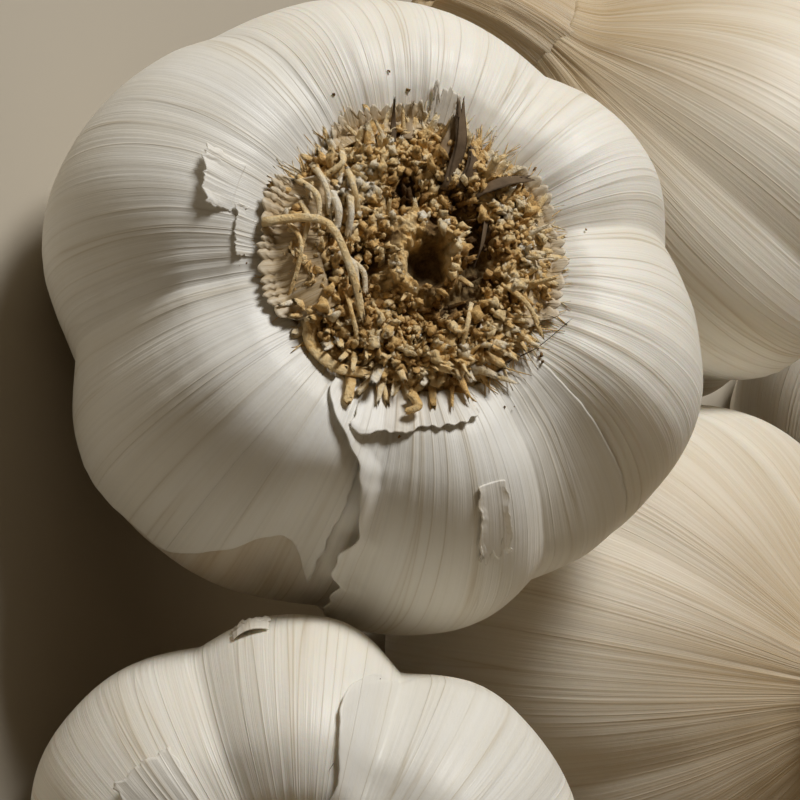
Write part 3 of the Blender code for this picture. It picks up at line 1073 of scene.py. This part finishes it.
VIEW_ELEVATION = math.radians(38)
VIEW_ROLL = math.radians(8)
VIEW_DISTANCE = 360 * MM
LENS = 175
SENSOR = 36
AIM_RIGHT = 2.55  # mm, how far right of and below the main bulb's middle the camera aims
AIM_BELOW = 8.0
AIR_COLOUR = (1.0, 0.70, 0.38, 1.0)
AIR_STRENGTH = 0.07


def place_camera():
    """Looks down at the main bulb's root end, with the camera held on its side."""
    up = Vector((0, math.sin(VIEW_ELEVATION), math.cos(VIEW_ELEVATION)))
    back = Vector((0, -math.cos(VIEW_ELEVATION), math.sin(VIEW_ELEVATION)))
    sideways = Vector((1, 0, 0))
    right = up * math.cos(VIEW_ROLL) + sideways * math.sin(VIEW_ROLL)
    top = up * math.sin(VIEW_ROLL) - sideways * math.cos(VIEW_ROLL)
    aim = Vector(MAIN.centre) * MM + right * AIM_RIGHT * MM - top * AIM_BELOW * MM
    data = bpy.data.cameras.new("camera")
    data.lens = LENS
    data.sensor_width = SENSOR
    data.clip_start = 0.01
    camera = bpy.data.objects.new("camera", data)
    bpy.context.scene.collection.objects.link(camera)
    turn = Matrix((right, top, back)).transposed().to_4x4()
    camera.matrix_world = Matrix.Translation(aim + back * VIEW_DISTANCE) @ turn
    bpy.context.scene.camera = camera


def add_light(name, direction, distance, size, power, colour):
    """A square soft light shining on the group from a direction."""
    data = bpy.data.lights.new(name, "AREA")
    data.size = size
    data.energy = power
    data.color = colour
    light = bpy.data.objects.new(name, data)
    bpy.context.scene.collection.objects.link(light)
    towards = Vector(direction).normalized()
    light.location = towards * distance
    light.rotation_mode = "QUATERNION"
    light.rotation_quaternion = towards.to_track_quat("Z", "Y")


def set_stage():
    """The floor, the two lights and the warm light of the room."""
    mesh = bmesh.new()
    bmesh.ops.create_grid(mesh, x_segments=2, y_segments=2, size=3.0)
    data = bpy.data.meshes.new("floor")
    mesh.to_mesh(data)
    mesh.free()
    data.materials.append(pale_floor())
    floor = bpy.data.objects.new("floor", data)
    bpy.context.scene.collection.objects.link(floor)
    add_light("key_light", direction=(-0.67, -0.01, 0.68), distance=0.80, size=0.20,
              power=5.4, colour=(1.0, 0.985, 0.955))
    add_light("fill_light", direction=(0.80, 0.10, 0.50), distance=1.0, size=0.6,
              power=0.8, colour=(1.0, 0.80, 0.54))
    world = bpy.data.worlds.new("studio_air")
    world.use_nodes = True
    air = world.node_tree.nodes["Background"]
    air.inputs["Color"].default_value = AIR_COLOUR
    air.inputs["Strength"].default_value = AIR_STRENGTH
    bpy.context.scene.world = world
    bpy.context.scene.view_settings.view_transform = "Standard"


def build():
    """Makes every piece of the group."""
    rng = random.Random(DRAW_SEED)
    for bulb in BULBS:
        detail = NEAR_DETAIL if bulb is MAIN else FAR_DETAIL
        make_body(bulb, *detail.body)
        make_cork(bulb, *detail.cork)
        make_crumbs(bulb, detail.crumbs, rng)
        make_stubs(bulb, *detail.stubs, rng)
        make_fibres(bulb, detail.fibres, rng)
        make_stem(bulb, rng)
    make_long_roots()
    make_leaf_tips()
    make_painted_crack_shadow()
    for fan in FANS:
        make_fan(*fan)
    make_torn_skins()


build()
set_stage()
place_camera()
